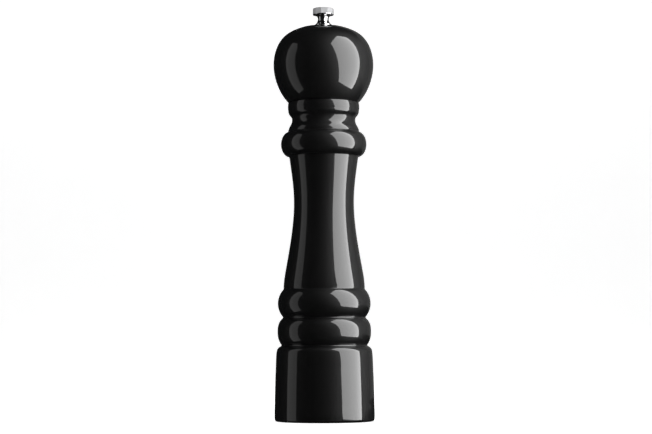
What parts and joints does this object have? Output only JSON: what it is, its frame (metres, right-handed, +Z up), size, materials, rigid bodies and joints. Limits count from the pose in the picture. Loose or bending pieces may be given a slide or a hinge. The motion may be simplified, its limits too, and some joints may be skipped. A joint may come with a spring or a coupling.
{
  "type": "pepper mill",
  "caption": "Turned wooden pepper mill with a turning ball head, a ten-sided adjusting knob on a square spindle, and a toothed grinder in its base.",
  "frame": {"origin": "centre of the base, on the surface that the mill stands on", "axes": "+Z up the turning axis to the knob, -Y to the front"},
  "size_m": [0.0738, 0.0738, 0.305],
  "materials": {
    "black_lacquer": "high-gloss black lacquer on turned beech",
    "knob_chrome": "chromed, satin facets and polished stem",
    "ring_chrome": "polished",
    "spindle_steel": "bright drawn bar",
    "burr_steel": "hardened, dark grey",
    "zinc_plate": "zinc plated",
    "drive_aluminium": "satin",
    "spring_steel": "bright wire",
    "nylon_white": "moulded natural nylon",
    "nylon_black": "moulded black nylon"
  },
  "bodies": {
    "body": {"mill_body": "black_lacquer", "stator_ring": "burr_steel", "stator_retainer": "nylon_black", "retainer_screws": "zinc_plate", "bridge": "zinc_plate", "bridge_bush": "nylon_white"},
    "drive": {"spring_seat": "zinc_plate", "grinder_spring": "spring_steel"},
    "spindle": {"spindle": "spindle_steel", "rotor": "burr_steel", "rotor_washer": "zinc_plate", "rotor_lock_washer": "zinc_plate", "rotor_nut": "zinc_plate"},
    "head": {"head": "black_lacquer", "drive_plate": "drive_aluminium", "drive_plate_screws": "zinc_plate", "knob_escutcheon": "ring_chrome"},
    "knob": {"knob": "knob_chrome"}
  },
  "joints": [
    {"name": "mill_turn", "type": "hinge", "parent": "body", "child": "drive", "pos_m": [0, 0, 0.0465], "axis": [0, 0, 1], "continuous": true},
    {"name": "grind_adjust", "type": "slide", "parent": "drive", "child": "spindle", "axis": [0, 0, -1], "range_m": [0, 0.0012], "deforming": ["grinder_spring"]},
    {"name": "head_lift", "type": "slide", "parent": "drive", "child": "head", "axis": [0, 0, 1], "range_m": [0, 0.085]},
    {"name": "knob_turn", "type": "hinge", "parent": "head", "child": "knob", "pos_m": [0, 0, 0.3], "axis": [0, 0, 1], "range_deg": [0, 540]}
  ],
  "couplings": [
    {"joint": "knob_turn", "follows": "grind_adjust", "rad_per_m": 7854}
  ]
}
